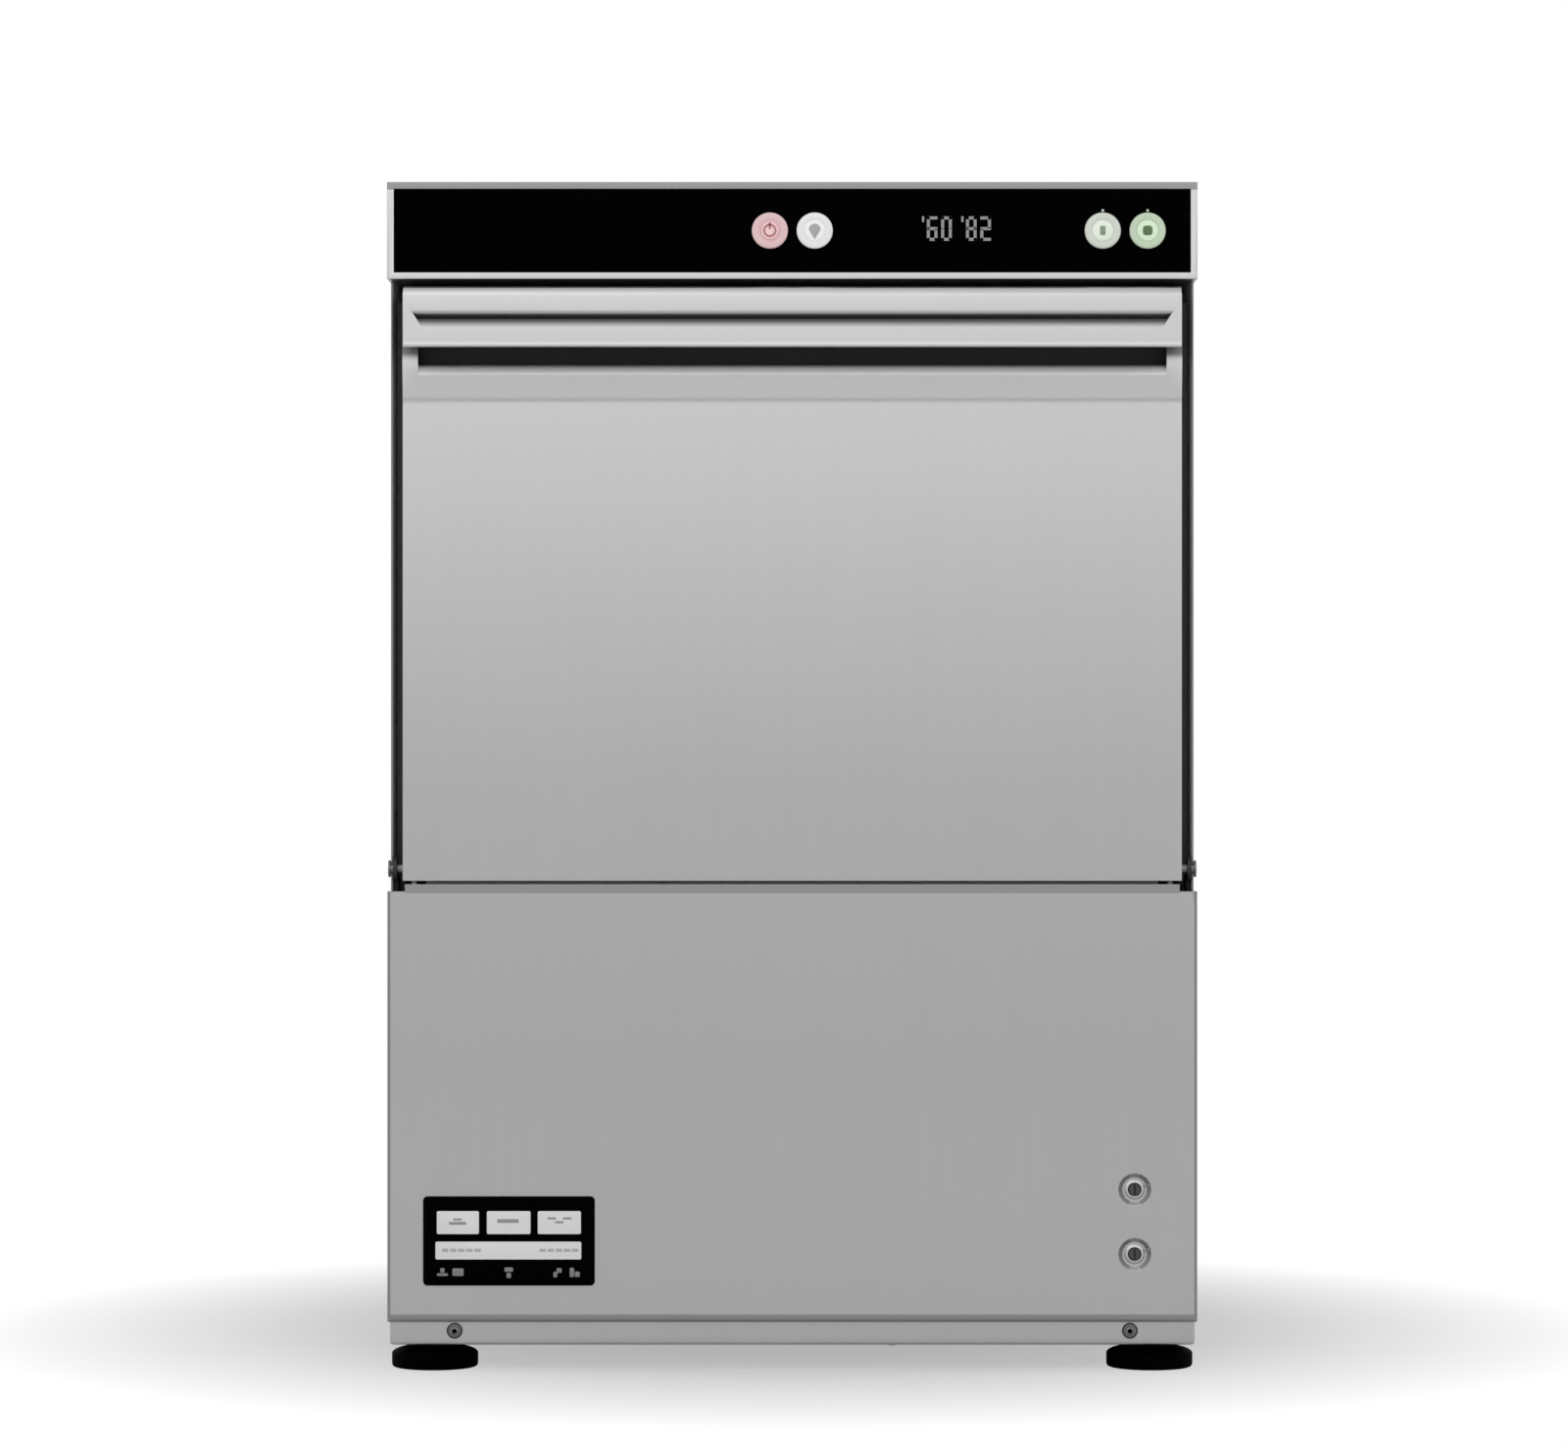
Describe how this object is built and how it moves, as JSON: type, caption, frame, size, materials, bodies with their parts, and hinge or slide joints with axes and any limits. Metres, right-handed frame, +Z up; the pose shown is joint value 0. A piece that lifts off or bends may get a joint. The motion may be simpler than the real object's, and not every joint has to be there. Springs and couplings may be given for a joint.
{
  "type": "under-counter glass washer",
  "caption": "Under-counter glass washer: stainless cabinet on levelling feet with a black control fascia and a drop-down door over a rack chamber with rotating spray arms.",
  "frame": {"origin": "on the floor under the middle of the machine's overall box, between the four levelling feet", "axes": "+X to the right of a person facing the door, +Y from the door to the rear panel, +Z up"},
  "size_m": [0.47, 0.56, 0.69],
  "materials": {
    "stainless": "fine vertical brushing",
    "bright_steel": "bright",
    "dark_steel": "dark satin",
    "black_fascia": "high gloss black",
    "plate_black": "satin black",
    "circuit_board": "satin",
    "rubber": "matt",
    "black_plastic": "satin",
    "grey_plastic": "satin",
    "white_plastic": "satin",
    "motor_paint": "satin paint",
    "boiler_jacket": "matt foam jacket",
    "brass": "plain",
    "pink_lens": "lit lens",
    "pale_green_lens": "lit lens",
    "green_lens": "lit lens"
  },
  "bodies": {
    "cabinet": {"base_tray": "stainless", "side_panel_left": "stainless", "side_panel_right": "stainless", "rear_panel": "stainless", "top_cover": "stainless", "control_hood": "stainless", "fascia_glass": "black_fascia", "control_board": "circuit_board", "lower_front_panel": "stainless", "info_plate": "plate_black", "wash_tank": "stainless", "door_seal": "rubber", "door_switch": "black_plastic", "rack_guide_left": "stainless", "rack_guide_right": "stainless", "tank_filter": "stainless", "upper_manifold": "bright_steel", "lower_manifold": "bright_steel", "wash_riser": "rubber", "wash_pump_volute": "grey_plastic", "wash_pump_motor": "motor_paint", "rinse_boiler": "boiler_jacket", "tank_element": "dark_steel", "drain_pump": "black_plastic", "inlet_valve": "brass", "cable_gland": "black_plastic", "dosing_pump_detergent": "grey_plastic", "dosing_pump_rinse_aid": "grey_plastic", "power_tray": "white_plastic", "hinge_bracket_left": "dark_steel", "hinge_bracket_right": "dark_steel", "hinge_pin_left": "bright_steel", "hinge_pin_right": "bright_steel", "balance_spring_left": "bright_steel", "balance_spring_right": "bright_steel", "tank_back_wall": "stainless"},
    "door": {"door_skin": "stainless", "door_liner": "stainless", "door_handle": "stainless", "hinge_arm_left": "bright_steel", "hinge_arm_right": "bright_steel"},
    "button_power": {"button_power": "pink_lens"},
    "button_drain": {"button_drain": "white_plastic"},
    "button_short_cycle": {"button_short_cycle": "pale_green_lens"},
    "button_long_cycle": {"button_long_cycle": "green_lens"},
    "upper_wash_arm": {"upper_wash_arm": "bright_steel"},
    "lower_wash_arm": {"lower_wash_arm": "bright_steel"},
    "upper_rinse_arm": {"upper_rinse_arm": "bright_steel"},
    "lower_rinse_arm": {"lower_rinse_arm": "bright_steel"},
    "standpipe": {"standpipe": "grey_plastic"},
    "foot_front_left": {"foot_front_left": "black_plastic"},
    "foot_front_right": {"foot_front_right": "black_plastic"},
    "foot_rear_left": {"foot_rear_left": "black_plastic"},
    "foot_rear_right": {"foot_rear_right": "black_plastic"},
    "adjuster_detergent": {"adjuster_detergent": "dark_steel"},
    "adjuster_rinse_aid": {"adjuster_rinse_aid": "dark_steel"},
    "pump_impeller": {"pump_impeller": "white_plastic"},
    "dosing_rotor_detergent": {"dosing_rotor_detergent": "white_plastic"},
    "dosing_rotor_rinse_aid": {"dosing_rotor_rinse_aid": "white_plastic"}
  },
  "joints": [
    {"name": "door_hinge", "type": "hinge", "parent": "cabinet", "child": "door", "pos_m": [0, -0.244, 0.2915], "axis": [1, 0, 0], "range_deg": [0, 90], "stiffness_Nm_per_rad": 3, "springref_deg": -20.05, "deforming": ["balance_spring_left", "balance_spring_right"]},
    {"name": "power_press", "type": "slide", "parent": "cabinet", "child": "button_power", "axis": [0, 1, 0], "range_m": [0, 0.0012], "stiffness_N_per_m": 400, "springref_m": -0.002},
    {"name": "drain_press", "type": "slide", "parent": "cabinet", "child": "button_drain", "axis": [0, 1, 0], "range_m": [0, 0.0012], "stiffness_N_per_m": 400, "springref_m": -0.002},
    {"name": "short_cycle_press", "type": "slide", "parent": "cabinet", "child": "button_short_cycle", "axis": [0, 1, 0], "range_m": [0, 0.0012], "stiffness_N_per_m": 400, "springref_m": -0.002},
    {"name": "long_cycle_press", "type": "slide", "parent": "cabinet", "child": "button_long_cycle", "axis": [0, 1, 0], "range_m": [0, 0.0012], "stiffness_N_per_m": 400, "springref_m": -0.002},
    {"name": "upper_wash_spin", "type": "hinge", "parent": "cabinet", "child": "upper_wash_arm", "pos_m": [0, -0.01, 0.58], "axis": [0, 0, 1], "continuous": true},
    {"name": "lower_wash_spin", "type": "hinge", "parent": "cabinet", "child": "lower_wash_arm", "pos_m": [0, -0.01, 0.29], "axis": [0, 0, 1], "continuous": true},
    {"name": "upper_rinse_spin", "type": "hinge", "parent": "cabinet", "child": "upper_rinse_arm", "pos_m": [0, -0.01, 0.57], "axis": [0, 0, 1], "continuous": true},
    {"name": "lower_rinse_spin", "type": "hinge", "parent": "cabinet", "child": "lower_rinse_arm", "pos_m": [0, -0.01, 0.305], "axis": [0, 0, 1], "continuous": true},
    {"name": "standpipe_lift", "type": "slide", "parent": "cabinet", "child": "standpipe", "axis": [0, 0, 1], "range_m": [0, 0.08]},
    {"name": "foot_front_left_level", "type": "slide", "parent": "cabinet", "child": "foot_front_left", "axis": [0, 0, -1], "range_m": [0, 0.015]},
    {"name": "foot_front_right_level", "type": "slide", "parent": "cabinet", "child": "foot_front_right", "axis": [0, 0, -1], "range_m": [0, 0.015]},
    {"name": "foot_rear_left_level", "type": "slide", "parent": "cabinet", "child": "foot_rear_left", "axis": [0, 0, -1], "range_m": [0, 0.015]},
    {"name": "foot_rear_right_level", "type": "slide", "parent": "cabinet", "child": "foot_rear_right", "axis": [0, 0, -1], "range_m": [0, 0.015]},
    {"name": "detergent_adjust", "type": "hinge", "parent": "cabinet", "child": "adjuster_detergent", "pos_m": [0.1986, -0.24, 0.1055], "axis": [0, 1, 0], "range_deg": [-135, 135]},
    {"name": "rinse_aid_adjust", "type": "hinge", "parent": "cabinet", "child": "adjuster_rinse_aid", "pos_m": [0.1986, -0.24, 0.068], "axis": [0, 1, 0], "range_deg": [-135, 135]},
    {"name": "impeller_spin", "type": "hinge", "parent": "cabinet", "child": "pump_impeller", "pos_m": [-0.037, 0.031, 0.09], "axis": [1, 0, 0], "continuous": true},
    {"name": "detergent_rotor_spin", "type": "hinge", "parent": "cabinet", "child": "dosing_rotor_detergent", "pos_m": [0.178, -0.201, 0.1055], "axis": [1, 0, 0], "continuous": true},
    {"name": "rinse_aid_rotor_spin", "type": "hinge", "parent": "cabinet", "child": "dosing_rotor_rinse_aid", "pos_m": [0.178, -0.201, 0.068], "axis": [1, 0, 0], "continuous": true}
  ]
}
